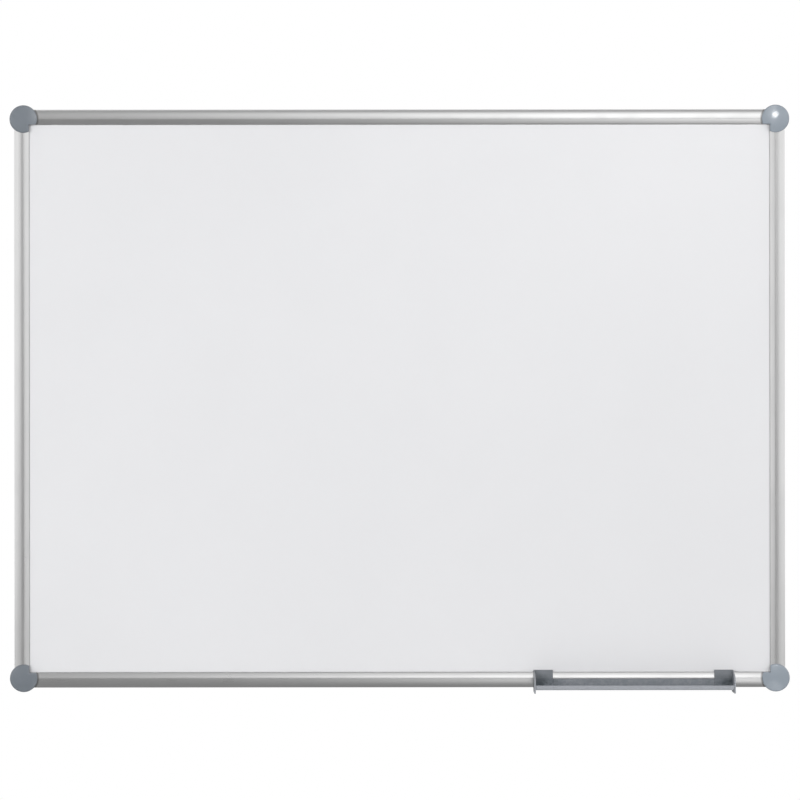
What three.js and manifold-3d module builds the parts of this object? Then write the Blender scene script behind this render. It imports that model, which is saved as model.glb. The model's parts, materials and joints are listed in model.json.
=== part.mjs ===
// A wall-hung magnetic whiteboard: a rounded aluminium frame, four round plastic corners with
// pull-off caps over the wall screws, and a pen tray that clips to the bottom rail and slides
// along it. Millimetres, +Z up, the wall behind the board at Y = 0, the writing surface facing
// -Y, and the origin at the middle of the board on the wall.
//
// Everything is drawn in the board's own plane first: x to the right, y up and z away from the
// wall. The board group then stands that drawing upright.
// Sections are drawn as (u, v): u runs from a rail's outer face in over the panel, and v runs
// from the wall forwards.

import * as THREE from "three";
import { mergeVertices } from "three/addons/utils/BufferGeometryUtils.js";
import Module from "manifold-3d";

const wasm = await Module();
wasm.setup();

// Board
const BOARD_WIDTH = 1200; // over the outer faces of the side rails
const BOARD_HEIGHT = 900; // over the outer faces of the top and bottom rails
const FIT = 0.3; // gap between pieces that slot into or onto each other
const GLUE_LINE = 0.2; // between the glued layers of the panel
const OVERRUN = 6; // how far a cutting shape runs past what it cuts

// Panel layers
const SHEET_THICKNESS = 0.5; // lacquered steel that is written on
const CORE_THICKNESS = 8.4; // paper honeycomb
const BACKING_THICKNESS = 0.4; // galvanised sheet

// Rail section
const RAIL_FACE = 24; // seen from the front
const RAIL_DEPTH = 18; // wall to crown
const RAIL_WALL = 1.4;
const RAIL_FLANGE = 1.6; // behind the panel, against the wall
const SLOT_DEPTH = 4.2; // how far the rail reaches over the panel's edge
const RAIL_LIP = 1.3; // thickness of the lip's edge on the writing surface
const SLOPE_WIDTH = 8.5; // the lip's edge to the crown
const SLOPE_BULGE = 0.8; // of the slope between lip and crown
const STRAIGHT_WALL = 8; // height at which the outer wall starts to curve in
const REBATE_WIDTH = 2.2; // step along the outer back edge that the tray hooks behind
const REBATE_DEPTH = 3;
const ARCH_STEPS = 12;
const SLOPE_STEPS = 5;

// Corner caps
const CAP_RADIUS = 21.5;
const CORNER_INSET = 15.3; // the outer faces of the rails to the middle of the corner
const CAP_HEIGHT = 4; // from the cap's rim to the top of its dome
const CAP_DOME = 1.2; // rise of the dome
const CAP_EDGE = 1.8; // rounding of the rim
const CAP_SKIN = 1.6;
const PEG_RADIUS = 1.7;
const PEG_LENGTH = 7; // in the corner body
const PEG_TAPER = 0.6;
const PEG_ANGLES = [-67, -135, 157]; // degrees, on the side away from the panel
const DISC_STEPS = 48;
const DOME_STEPS = 3;
const EDGE_STEPS = 3;

// Corner bodies
const BODY_INSET = 0.5; // how far the body stands back from the cap's rim
const BODY_WALL = 2;
const BODY_FLOOR = 3;
const BODY_RIB = 1.6;
const BOSS_WALL = 1.6; // round the screw well and the peg sockets
const WELL_RADIUS = 4.8; // for the head of the wall screw
const WELL_FLOOR = 4;
const WALL_HOLE_RADIUS = 3.1; // for a 5 mm wall screw
const LEG_LENGTH = 55; // inside each rail
const LEG_CHAMFER = 2.5;
const LEG_WALL = 2;
const HOLE_STEPS = 16;

// Screws that hold each rail to the legs inside it
const SCREW_HEAD_RADIUS = 2.9;
const SCREW_SHANK_RADIUS = 1.4;
const SCREW_HEAD_DEPTH = 1.5;
const SCREW_LENGTH = 9.5;
const SCREW_TIP = 1.6;
const SCREW_SUNK = 0.1; // below the rail's back
const SCREW_FIT = 0.15; // round the head and the shank
const RECESS_ARM = 1.5; // cross recess, from its middle
const RECESS_WIDTH = 0.7;
const RECESS_DEPTH = 0.9;

// Pen tray: the trough
const TRAY_LENGTH = 311; // over its cheeks
const TRAY_FROM_END = 81; // right end of the board to the tray
const TROUGH_REACH = 38; // back of its back wall to the front of its lip
const TROUGH_DROP = 1.3; // its underside below the rail
const TROUGH_BACK = 15.2; // height of its back wall
const TROUGH_LIP = 7.1; // height of its front lip
const TROUGH_WALL = 1.6;
const TROUGH_RADIUS = 2.2; // outside, along the bottom edges
const TROUGH_STEPS = 5;

// Pen tray: the clip and the cheek at each end
const CLIP_WIDTH = 30; // cheek included
const CLIP_WALL = 1.8;
const TAB_REACH = 3; // clip past the rail's lip, over the writing surface
const TOE_STANDOFF = 0.6; // hook of the clip to the wall
const PLUG_WALL = 1.4; // of the collar and the hood that hold the trough
const PLUG_REACH = 6; // collar into the trough
const PLUG_SHORT = 0.8; // collar below the top of the trough's lip
const CHEEK_THICKNESS = 2;
const CHEEK_DROP = 6.7; // below the rail
const CHEEK_PROUD = 1.5; // in front of the trough's lip
const CHEEK_SHOULDER = 20.5; // height above the rail's outer face where its front curve starts
const CHEEK_CURVE_DEPTH = 14; // of that curve, front to back
const CHEEK_CURVE_FOOT = 7; // height above the rail's outer face where that curve ends
const CHEEK_FOOT_RADIUS = 2.5;
const CHEEK_HEEL = 8; // wall to where the cheek's lower edge rises to the hook
const CHEEK_STEPS = 10;

const alloy = new THREE.MeshStandardMaterial({ color: 0xc9cac8, roughness: 0.32, metalness: 1 });
const lacquer = new THREE.MeshStandardMaterial({ color: 0xe9eaec, roughness: 0.18, metalness: 0 });
const honeycomb = new THREE.MeshStandardMaterial({ color: 0xb59a72, roughness: 0.9, metalness: 0 });
const galvanised = new THREE.MeshStandardMaterial({ color: 0xa6aaad, roughness: 0.45, metalness: 1 });
const greyPlastic = new THREE.MeshStandardMaterial({ color: 0x7f8891, roughness: 0.35, metalness: 0 });
const plated = new THREE.MeshStandardMaterial({ color: 0xb8bcc0, roughness: 0.3, metalness: 1 });

// Levels of the panel's layers, from the wall forwards
const backingBack = RAIL_FLANGE + FIT;
const coreBack = backingBack + BACKING_THICKNESS + GLUE_LINE;
const sheetBack = coreBack + CORE_THICKNESS + GLUE_LINE;
const sheetFront = sheetBack + SHEET_THICKNESS;
const lipUnderside = sheetFront + FIT;
const lipTop = lipUnderside + RAIL_LIP;

// Lines across a rail, from its outer face
const crown = RAIL_FACE - SLOPE_WIDTH;
const webFace = RAIL_FACE - SLOT_DEPTH;
const panelInset = webFace + FIT;
const chamberOuter = REBATE_WIDTH + RAIL_WALL;
const chamberInner = webFace - RAIL_WALL;
const legOuter = chamberOuter + FIT;
const legInner = chamberInner - FIT;
const legMiddle = (legOuter + legInner) / 2;

// Places seen from the middle of a corner
const innerEdge = RAIL_FACE - CORNER_INSET;
const panelCorner = webFace - CORNER_INSET;
const railEnd = innerEdge + BODY_WALL;
const legEnd = railEnd + LEG_LENGTH;
const legScrew = railEnd + LEG_LENGTH / 2;
const bodyRadius = CAP_RADIUS - BODY_INSET;
const pegRing = (WELL_RADIUS + BOSS_WALL + bodyRadius - BODY_WALL) / 2;
const pastCap = CAP_RADIUS + OVERRUN;

// Solids

function solidOf(geometry) {
  geometry.deleteAttribute("normal");
  geometry.deleteAttribute("uv");
  const merged = mergeVertices(geometry);
  return new wasm.Manifold(
    new wasm.Mesh({
      numProp: 3,
      vertProperties: merged.attributes.position.array,
      triVerts: new Uint32Array(merged.index.array),
    }),
  );
}

function piece(name, solid, material) {
  const { vertProperties, triVerts } = solid.getMesh();
  const geometry = new THREE.BufferGeometry();
  geometry.setAttribute("position", new THREE.BufferAttribute(vertProperties, 3));
  geometry.setIndex(new THREE.BufferAttribute(triVerts, 1));
  geometry.computeVertexNormals();
  const mesh = new THREE.Mesh(geometry, material);
  mesh.name = name;
  return mesh;
}

function joined(...solids) {
  return solids.reduce((all, next) => all.add(next));
}

function block([x0, x1], [y0, y1], [z0, z1]) {
  const box = new THREE.BoxGeometry(x1 - x0, y1 - y0, z1 - z0);
  return solidOf(box.translate((x0 + x1) / 2, (y0 + y1) / 2, (z0 + z1) / 2));
}

function rod([x, y], radius, [z0, z1], steps) {
  const cylinder = new THREE.CylinderGeometry(radius, radius, z1 - z0, steps);
  return solidOf(cylinder.rotateX(Math.PI / 2).translate(x, y, (z0 + z1) / 2));
}

// A profile of [radius, z] points, listed from its lowest end on the axis to its highest, turned
// about the z axis.
function turned(profile, steps) {
  const points = profile.map(([radius, z]) => new THREE.Vector2(radius, z));
  return solidOf(new THREE.LatheGeometry(points, steps).rotateX(Math.PI / 2));
}

function extruded(outline, depth, hole = [], steps = 1) {
  const path = (points) => points.map(([x, y]) => new THREE.Vector2(x, y));
  const shape = new THREE.Shape(path(outline));
  if (hole.length) shape.holes.push(new THREE.Path(path(hole)));
  return new THREE.ExtrudeGeometry(shape, { depth, steps, bevelEnabled: false });
}

// An (x, y) outline between two heights.
function plate(outline, [z0, z1]) {
  return solidOf(extruded(outline, z1 - z0).translate(0, 0, z0));
}

// A (u, v) section run along x, with u up and v forwards.
function run(outline, [x0, x1], hole, steps) {
  const up = new THREE.Vector3(0, 1, 0);
  const forwards = new THREE.Vector3(0, 0, 1);
  const along = new THREE.Vector3(1, 0, 0);
  const turn = new THREE.Matrix4().makeBasis(up, forwards, along);
  return solidOf(extruded(outline, x1 - x0, hole, steps).applyMatrix4(turn).translate(x0, 0, 0));
}

// The same solid with x and y changed over.
function turnedOver(solid) {
  return solid.mirror([1, -1, 0]);
}

// Points on an ellipse from one angle to another, in degrees, both ends included.
function arc([cu, cv], [ru, rv], [from, to], steps) {
  return Array.from({ length: steps + 1 }, (_, i) => {
    const angle = THREE.MathUtils.degToRad(from + ((to - from) * i) / steps);
    return [cu + ru * Math.cos(angle), cv + rv * Math.sin(angle)];
  });
}

// Rails

// The circle that the slope between lip and crown follows.
function slopeCircle() {
  const rise = RAIL_DEPTH - lipTop;
  const chord = Math.hypot(SLOPE_WIDTH, rise);
  const radius = (chord ** 2 / 4 + SLOPE_BULGE ** 2) / (2 * SLOPE_BULGE);
  const back = (radius - SLOPE_BULGE) / chord;
  const u = (RAIL_FACE + crown) / 2 - back * rise;
  const v = (lipTop + RAIL_DEPTH) / 2 - back * SLOPE_WIDTH;
  return { u, v, radius };
}

// The slope from the lip's edge up to the crown, moved outwards by offset.
function slope(offset) {
  const { u, v, radius } = slopeCircle();
  const towards = (toU, toV) => THREE.MathUtils.radToDeg(Math.atan2(toV - v, toU - u));
  const span = [towards(RAIL_FACE, lipTop), towards(crown, RAIL_DEPTH)];
  return arc([u, v], [radius + offset, radius + offset], span, SLOPE_STEPS);
}

// Height of the slope, moved outwards by offset, over a line of the rail.
function slopeHeight(line, offset) {
  const { u, v, radius } = slopeCircle();
  return v + Math.sqrt((radius + offset) ** 2 - (line - u) ** 2);
}

// The arch from the crown down to the outer wall, moved outwards by offset.
function arch(offset) {
  const reach = [crown + offset, RAIL_DEPTH - STRAIGHT_WALL + offset];
  return arc([crown, STRAIGHT_WALL], reach, [90, 180], ARCH_STEPS);
}

// Height of the chamber's roof over a line of the rail under the arch.
function roofHeight(line) {
  const across = (crown - line) / (crown - RAIL_WALL);
  return STRAIGHT_WALL + (RAIL_DEPTH - RAIL_WALL - STRAIGHT_WALL) * Math.sqrt(1 - across ** 2);
}

function railSection() {
  return [
    [REBATE_WIDTH, 0],
    [RAIL_FACE, 0],
    [RAIL_FACE, RAIL_FLANGE],
    [webFace, RAIL_FLANGE],
    [webFace, lipUnderside],
    [RAIL_FACE, lipUnderside],
    ...slope(0).slice(0, -1),
    ...arch(0),
    [0, REBATE_DEPTH],
    [REBATE_WIDTH, REBATE_DEPTH],
  ];
}

function railChamber() {
  return [
    [chamberOuter, RAIL_FLANGE],
    [chamberInner, RAIL_FLANGE],
    [chamberInner, slopeHeight(chamberInner, -RAIL_WALL)],
    ...arch(-RAIL_WALL),
    [RAIL_WALL, REBATE_DEPTH + RAIL_WALL],
    [chamberOuter, REBATE_DEPTH + RAIL_WALL],
  ];
}

// The countersunk hole for a rail screw, opening at the wall.
function screwHole(place) {
  const head = SCREW_HEAD_RADIUS + SCREW_FIT;
  const shank = SCREW_SHANK_RADIUS + SCREW_FIT;
  const cone = turned(
    [
      [0, -OVERRUN],
      [head, -OVERRUN],
      [head, 0],
      [shank, SCREW_HEAD_DEPTH],
      [0, SCREW_HEAD_DEPTH],
    ],
    HOLE_STEPS,
  );
  return cone.translate([...place, 0]).add(rod(place, shank, [0, SCREW_LENGTH + SCREW_TIP], HOLE_STEPS));
}

// A rail with its outer face at y = 0 and its length centred on x = 0.
function rail(length) {
  const screw = length / 2 + railEnd - legScrew;
  const holes = joined(screwHole([-screw, legMiddle]), screwHole([screw, legMiddle]));
  return run(railSection(), [-length / 2, length / 2], railChamber()).subtract(holes);
}

// A rail screw with its head's middle on the z axis.
function railScrew() {
  const profile = [
    [0, SCREW_SUNK],
    [SCREW_HEAD_RADIUS, SCREW_SUNK],
    [SCREW_SHANK_RADIUS, SCREW_HEAD_DEPTH],
    [SCREW_SHANK_RADIUS, SCREW_LENGTH - SCREW_TIP],
    [0, SCREW_LENGTH],
  ];
  const arms = [-RECESS_ARM, RECESS_ARM];
  const width = [-RECESS_WIDTH / 2, RECESS_WIDTH / 2];
  const depth = [-OVERRUN, SCREW_SUNK + RECESS_DEPTH];
  const recess = joined(block(arms, width, depth), block(width, arms, depth));
  return turned(profile, HOLE_STEPS).subtract(recess);
}

// Corners, drawn for the bottom left with the middle of the corner on the z axis

// The leg inside the rail along x, hollowed from the front on both sides of its screw.
function leg() {
  const root = railEnd - FIT - BODY_WALL;
  const low = legOuter - CORNER_INSET;
  const high = legInner - CORNER_INSET;
  const levels = [RAIL_FLANGE + FIT, roofHeight(legOuter) - FIT];
  const bar = plate(
    [
      [root, low],
      [legEnd - LEG_CHAMFER, low],
      [legEnd, low + LEG_CHAMFER],
      [legEnd, high - LEG_CHAMFER],
      [legEnd - LEG_CHAMFER, high],
      [root, high],
    ],
    levels,
  );
  const boss = SCREW_HEAD_RADIUS + LEG_WALL;
  const pocket = (x0, x1) =>
    block([x0, x1], [low + LEG_WALL, high - LEG_WALL], [levels[0] + LEG_WALL, levels[1] + OVERRUN]);
  const inboard = pocket(railEnd + LEG_WALL, legScrew - boss);
  const outboard = pocket(legScrew + boss, legEnd - LEG_CHAMFER - LEG_WALL);
  return bar.subtract(joined(inboard, outboard));
}

// What the end of the rail along x takes up in the body.
function railEndSpace() {
  const outline = [
    [-FIT, -OVERRUN],
    [RAIL_FACE + FIT, -OVERRUN],
    [RAIL_FACE + FIT, lipTop],
    ...slope(FIT),
    ...arch(FIT),
  ];
  return run(
    outline.map(([u, v]) => [u - CORNER_INSET, v]),
    [railEnd - FIT, railEnd + pastCap],
  );
}

function pegPlaces() {
  return PEG_ANGLES.map((degrees) => {
    const angle = THREE.MathUtils.degToRad(degrees);
    return [pegRing * Math.cos(angle), pegRing * Math.sin(angle)];
  });
}

// The square that the panel side of a corner takes up, from a distance outwards.
function towardsPanel(from, depth) {
  return block([from, pastCap], [from, pastCap], depth);
}

// The hollow of the body, open at the front, with its ribs and bosses left standing.
function bodyHollow() {
  const depth = [BODY_FLOOR, RAIL_DEPTH + OVERRUN];
  const across = [-pastCap, pastCap];
  const rib = [-BODY_RIB / 2, BODY_RIB / 2];
  const endWall = [railEnd - FIT - BODY_WALL, pastCap];
  const bosses = pegPlaces().map((place) => rod(place, PEG_RADIUS + FIT + BOSS_WALL, depth, HOLE_STEPS));
  const kept = joined(
    rod([0, 0], WELL_RADIUS + BOSS_WALL, depth, HOLE_STEPS),
    block(endWall, across, depth),
    block(across, endWall, depth),
    towardsPanel(panelCorner - BODY_WALL, depth),
    block(across, rib, depth),
    block(rib, across, depth),
    ...bosses,
  );
  return rod([0, 0], bodyRadius - BODY_WALL, depth, DISC_STEPS).subtract(kept);
}

function cornerBody() {
  const open = RAIL_DEPTH + OVERRUN;
  const cuts = joined(
    towardsPanel(panelCorner, [RAIL_FLANGE, lipUnderside]),
    towardsPanel(innerEdge, [lipUnderside - FIT, open]),
    railEndSpace(),
    turnedOver(railEndSpace()),
    bodyHollow(),
  );
  const sockets = pegPlaces().map((place) =>
    rod(place, PEG_RADIUS + FIT, [RAIL_DEPTH - PEG_LENGTH - FIT, open], HOLE_STEPS),
  );
  const holes = joined(
    rod([0, 0], WALL_HOLE_RADIUS, [-OVERRUN, open], HOLE_STEPS),
    rod([0, 0], WELL_RADIUS, [WELL_FLOOR, open], HOLE_STEPS),
    screwHole([legScrew, legMiddle - CORNER_INSET]),
    screwHole([legMiddle - CORNER_INSET, legScrew]),
    ...sockets,
  );
  const barrel = rod([0, 0], bodyRadius, [0, RAIL_DEPTH], DISC_STEPS).subtract(cuts);
  return joined(barrel, leg(), turnedOver(leg())).subtract(holes);
}

// The caps' own levels
const capRim = RAIL_DEPTH + FIT;
const capTop = capRim + CAP_HEIGHT;

// Points of a dome from its middle out to reach, with its middle at top.
function dome(reach, top) {
  const span = CAP_RADIUS - CAP_EDGE;
  const radius = (span ** 2 + CAP_DOME ** 2) / (2 * CAP_DOME);
  return Array.from({ length: DOME_STEPS + 1 }, (_, i) => {
    const distance = (reach * i) / DOME_STEPS;
    return [distance, top - radius + Math.sqrt(radius ** 2 - distance ** 2)];
  });
}

function cornerCap() {
  const flat = CAP_RADIUS - CAP_EDGE;
  const edge = [flat, capTop - CAP_DOME - CAP_EDGE];
  const outside = [
    ...dome(flat, capTop).slice(0, -1),
    ...arc(edge, [CAP_EDGE, CAP_EDGE], [90, 0], EDGE_STEPS),
    [CAP_RADIUS, capRim],
    [0, capRim],
  ];
  const depth = [capRim - OVERRUN, capTop + OVERRUN];
  const under = [capRim - OVERRUN, capTop - CAP_DOME - CAP_SKIN];
  const hollow = rod([0, 0], CAP_RADIUS - CAP_SKIN, under, DISC_STEPS).subtract(
    towardsPanel(innerEdge - CAP_SKIN, depth),
  );
  const shell = turned(outside.reverse(), DISC_STEPS)
    .subtract(towardsPanel(innerEdge, depth))
    .subtract(hollow);
  const tip = RAIL_DEPTH - PEG_LENGTH;
  const root = capTop - CAP_DOME - CAP_SKIN / 2;
  const peg = turned(
    [
      [0, tip],
      [PEG_RADIUS - PEG_TAPER, tip],
      [PEG_RADIUS, tip + PEG_TAPER],
      [PEG_RADIUS, root],
      [0, root],
    ],
    HOLE_STEPS,
  );
  return joined(shell, ...pegPlaces().map((place) => peg.translate([...place, 0])));
}

// Pen tray, drawn with the outer face of the bottom rail at y = 0

const clip = FIT + CLIP_WALL;
const tabTip = RAIL_FACE + FIT + TAB_REACH;
const troughBack = RAIL_DEPTH + clip + FIT;
const troughFront = troughBack + TROUGH_REACH;
const troughFloor = -TROUGH_DROP;
const troughBackTop = troughFloor + TROUGH_BACK;
const troughLipTop = troughFloor + TROUGH_LIP;
const cheekFront = troughFront + CHEEK_PROUD;

// A channel open at the top: a back wall, a floor and a lower front wall, rounded underneath.
function channel({ back, front, floor, backTop, frontTop, wall, radius }) {
  return [
    [backTop, back],
    [backTop, back + wall],
    [floor + wall, back + wall],
    [floor + wall, front - wall],
    [frontTop, front - wall],
    [frontTop, front],
    ...arc([floor + radius, front - radius], [radius, radius], [90, 180], TROUGH_STEPS),
    ...arc([floor + radius, back + radius], [radius, radius], [180, 270], TROUGH_STEPS),
  ];
}

const trough = {
  back: troughBack,
  front: troughFront,
  floor: troughFloor,
  backTop: troughBackTop,
  frontTop: troughLipTop,
  wall: TROUGH_WALL,
  radius: TROUGH_RADIUS,
};

// The trough with its clearance, as the ends have to leave room for it.
const troughSpace = {
  back: troughBack - FIT,
  front: troughFront + FIT,
  floor: troughFloor - FIT,
  backTop: troughBackTop + FIT,
  frontTop: troughLipTop + FIT,
  wall: TROUGH_WALL + 2 * FIT,
  radius: TROUGH_RADIUS + FIT,
};

// The rail with its clearance, as the tray clips round it.
function railSpace() {
  return [
    [REBATE_WIDTH - FIT, -OVERRUN],
    [RAIL_FACE + FIT, -OVERRUN],
    [RAIL_FACE + FIT, lipTop],
    ...slope(FIT),
    ...arch(FIT),
    [-FIT, REBATE_DEPTH - FIT],
    [REBATE_WIDTH - FIT, REBATE_DEPTH - FIT],
  ];
}

// The clip round the rail, filled in behind: a tab over the lip, the arch, and the hook's toe.
function saddleOutline() {
  const inner = [REBATE_WIDTH - FIT, lipUnderside];
  return [
    [tabTip, lipUnderside],
    [tabTip, lipUnderside + CLIP_WALL],
    ...slope(clip),
    ...arch(clip),
    [-clip, TOE_STANDOFF],
    [REBATE_WIDTH - FIT, TOE_STANDOFF],
    inner,
  ];
}

// The hood in front of the clip that hooks over the trough's back wall.
function hoodOutline() {
  const front = troughBack + TROUGH_WALL + FIT + PLUG_WALL;
  const foot = troughFloor + TROUGH_WALL + FIT;
  const shoulder = troughBackTop + FIT + PLUG_WALL / 2;
  const peak = shoulder + front - RAIL_DEPTH;
  return [
    [foot, RAIL_DEPTH],
    [peak, RAIL_DEPTH],
    [shoulder, front],
    [foot, front],
  ];
}

// The collar inside the trough's end.
function collarOutline() {
  return channel({
    back: troughBack + TROUGH_WALL + FIT,
    front: troughFront - TROUGH_WALL - FIT,
    floor: troughFloor + TROUGH_WALL + FIT,
    backTop: troughBackTop,
    frontTop: troughLipTop - PLUG_SHORT,
    wall: PLUG_WALL,
    radius: PLUG_WALL,
  });
}

function cheekOutline() {
  const curve = [CHEEK_SHOULDER - CHEEK_CURVE_FOOT, CHEEK_CURVE_DEPTH];
  const foot = [CHEEK_FOOT_RADIUS - CHEEK_DROP, cheekFront - CHEEK_FOOT_RADIUS];
  return [
    [tabTip, lipUnderside],
    [tabTip, lipUnderside + CLIP_WALL],
    ...arc([CHEEK_CURVE_FOOT, cheekFront - CHEEK_CURVE_DEPTH], curve, [0, 90], CHEEK_STEPS),
    ...arc(foot, [CHEEK_FOOT_RADIUS, CHEEK_FOOT_RADIUS], [90, 180], TROUGH_STEPS),
    [-CHEEK_DROP, CHEEK_HEEL],
    [-clip, TOE_STANDOFF],
    [REBATE_WIDTH - FIT, TOE_STANDOFF],
    [REBATE_WIDTH - FIT, lipUnderside],
  ];
}

// The left end of the tray, with the outer side of its cheek at x = 0.
function trayEnd() {
  const past = [-OVERRUN, CLIP_WIDTH + OVERRUN];
  const solids = joined(
    run(cheekOutline(), [0, CHEEK_THICKNESS]),
    run(saddleOutline(), [0, CLIP_WIDTH]),
    run(hoodOutline(), [0, CLIP_WIDTH]),
    run(collarOutline(), [0, CHEEK_THICKNESS + PLUG_REACH]),
  );
  return solids
    .subtract(run(railSpace(), past))
    .subtract(run(channel(troughSpace), [CHEEK_THICKNESS, CLIP_WIDTH + OVERRUN]));
}

// In three lengths, so that the middle of its floor is a face of its own, clear of both ends.
function trayTrough() {
  const inset = CHEEK_THICKNESS + FIT;
  return run(channel(trough), [inset, TRAY_LENGTH - inset], [], 3);
}

// Assembly

const board = new THREE.Group();
board.rotation.x = Math.PI / 2;

// A layer of the panel. Its middle, clear of the rails and of the tray's tabs, is a face of its own.
function layer(name, thickness, back, material) {
  const size = [BOARD_WIDTH, BOARD_HEIGHT].map((over) => over - 2 * panelInset);
  const clear = [BOARD_WIDTH, BOARD_HEIGHT].map((over) => over / 2 - tabTip - FIT);
  const sheet = new THREE.BoxGeometry(...size, thickness, 3, 3, 1);
  const points = sheet.attributes.position;
  for (let i = 0; i < points.count; i++) {
    const place = [points.getX(i), points.getY(i)].map((x, axis) =>
      Math.abs(x) < size[axis] / 3 ? Math.sign(x) * clear[axis] : x,
    );
    points.setXY(i, ...place);
  }
  board.add(piece(name, solidOf(sheet.translate(0, 0, back + thickness / 2)), material));
}

layer("backing_sheet", BACKING_THICKNESS, backingBack, galvanised);
layer("core_board", CORE_THICKNESS, coreBack, honeycomb);
layer("writing_sheet", SHEET_THICKNESS, sheetBack, lacquer);

const ends = 2 * (CORNER_INSET + railEnd);
const sides = [
  { side: "bottom", length: BOARD_WIDTH - ends, distance: BOARD_HEIGHT / 2, next: ["left", "right"] },
  { side: "right", length: BOARD_HEIGHT - ends, distance: BOARD_WIDTH / 2, next: ["bottom", "top"] },
  { side: "top", length: BOARD_WIDTH - ends, distance: BOARD_HEIGHT / 2, next: ["right", "left"] },
  { side: "left", length: BOARD_HEIGHT - ends, distance: BOARD_WIDTH / 2, next: ["top", "bottom"] },
];

// Each side is drawn as the bottom one and then turned into place.
sides.forEach(({ side, length, distance, next }, quarter) => {
  const group = new THREE.Group();
  group.rotation.z = (quarter * Math.PI) / 2;
  group.add(piece(`rail_${side}`, rail(length).translate([0, -distance, 0]), alloy));
  const screw = length / 2 + railEnd - legScrew;
  next.forEach((end, i) => {
    const x = i ? screw : -screw;
    const placed = railScrew().translate([x, legMiddle - distance, 0]);
    group.add(piece(`rail_screw_${side}_${end}`, placed, plated));
  });
  board.add(group);
});

const corners = ["bottom_left", "bottom_right", "top_right", "top_left"];
corners.forEach((corner, quarter) => {
  const across = (quarter % 2 ? BOARD_HEIGHT : BOARD_WIDTH) / 2 - CORNER_INSET;
  const down = (quarter % 2 ? BOARD_WIDTH : BOARD_HEIGHT) / 2 - CORNER_INSET;
  const group = new THREE.Group();
  group.rotation.z = (quarter * Math.PI) / 2;
  group.add(piece(`corner_body_${corner}`, cornerBody().translate([-across, -down, 0]), greyPlastic));
  group.add(piece(`corner_cap_${corner}`, cornerCap().translate([-across, -down, 0]), greyPlastic));
  board.add(group);
});

const trayRight = BOARD_WIDTH / 2 - TRAY_FROM_END;
const trayLeft = trayRight - TRAY_LENGTH;
const railFoot = -BOARD_HEIGHT / 2;
const rightEnd = trayEnd().mirror([1, 0, 0]);
board.add(piece("tray_trough", trayTrough().translate([trayLeft, railFoot, 0]), greyPlastic));
board.add(piece("tray_end_left", trayEnd().translate([trayLeft, railFoot, 0]), greyPlastic));
board.add(piece("tray_end_right", rightEnd.translate([trayRight, railFoot, 0]), greyPlastic));

const whiteboard = new THREE.Group();
whiteboard.add(board);

export default whiteboard;
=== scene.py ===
"""A wall-hung magnetic whiteboard: rounded aluminium rails, plastic corners and a sliding pen tray.

Each piece is drawn in the board's own plane first: x to the right, y up and z away from the wall.
It is then stood upright. Rail and tray sections are drawn as (u, v): u runs from a rail's outer
face in over the panel, and v runs from the wall forwards. Lengths are in metres.
"""

import json
import math

import bmesh
import bpy
from bpy.props import FloatProperty, FloatVectorProperty, IntProperty, PointerProperty
from mathutils import Matrix, Vector

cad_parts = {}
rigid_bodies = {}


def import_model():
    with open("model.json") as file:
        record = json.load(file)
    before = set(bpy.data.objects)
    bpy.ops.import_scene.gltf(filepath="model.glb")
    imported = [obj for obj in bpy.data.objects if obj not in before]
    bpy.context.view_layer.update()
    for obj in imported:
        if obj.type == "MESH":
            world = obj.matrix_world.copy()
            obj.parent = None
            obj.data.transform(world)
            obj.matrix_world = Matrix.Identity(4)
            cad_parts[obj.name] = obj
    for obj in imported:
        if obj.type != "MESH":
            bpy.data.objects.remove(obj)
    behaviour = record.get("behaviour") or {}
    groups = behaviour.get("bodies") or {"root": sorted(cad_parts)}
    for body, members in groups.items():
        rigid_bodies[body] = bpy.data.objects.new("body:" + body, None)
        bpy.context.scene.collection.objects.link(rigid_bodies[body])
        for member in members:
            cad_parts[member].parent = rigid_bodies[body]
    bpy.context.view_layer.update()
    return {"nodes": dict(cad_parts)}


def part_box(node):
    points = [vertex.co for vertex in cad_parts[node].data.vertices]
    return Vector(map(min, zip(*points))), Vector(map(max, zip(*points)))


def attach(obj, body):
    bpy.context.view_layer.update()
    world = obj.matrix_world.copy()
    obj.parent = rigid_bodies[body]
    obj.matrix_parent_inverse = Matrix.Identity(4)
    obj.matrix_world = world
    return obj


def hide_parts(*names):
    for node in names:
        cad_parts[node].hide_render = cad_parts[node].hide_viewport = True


bl_info = {
    "name": "Magnetic Whiteboard",
    "version": (1, 0, 0),
    "blender": (4, 5, 0),
    "location": "3D View > Sidebar > Whiteboard",
    "description": "Builds a framed magnetic whiteboard with capped corners and a sliding pen tray",
    "category": "Object",
}

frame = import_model()

MM = 0.001
NEAR = MM / 1000  # points nearer than this to each other are one
LEVEL = MM / 100  # how exactly a point's height or radius is told
FLAT = math.radians(1)  # CAD faces that meet at less than this are one
KEEN = math.radians(35)  # edges of the CAD nodes that are keener than this are rounded
SMOOTH = math.radians(30)  # faces that meet at less than this are shaded as one
PEG_ANGLES = (-67, -135, 157)  # degrees, for the bottom left cap
UPRIGHT = Matrix.Rotation(math.radians(90), 4, "X")
SIDES = ("bottom", "right", "top", "left")
CORNERS = ("bottom_left", "bottom_right", "top_right", "top_left")
OUTWARDS = (Vector((0, 0, -1)), Vector((1, 0, 0)), Vector((0, 0, 1)), Vector((-1, 0, 0)))


def length(name, millimetres, description):
    return FloatProperty(
        name=name, description=description, default=millimetres * MM, unit="LENGTH", precision=5
    )


def metres(name, default, description):
    return FloatProperty(name=name, description=description, default=default, unit="LENGTH")


def power(name, watts, description):
    return FloatProperty(name=name, description=description, default=watts, unit="POWER")


def count(name, default, description):
    return IntProperty(name=name, description=description, default=default, min=1)


def brightness(name, default, description):
    return FloatProperty(name=name, description=description, default=default, min=0)


def colour(name, default, description):
    return FloatVectorProperty(
        name=name, description=description, default=default, subtype="COLOR", min=0, max=1
    )


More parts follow.
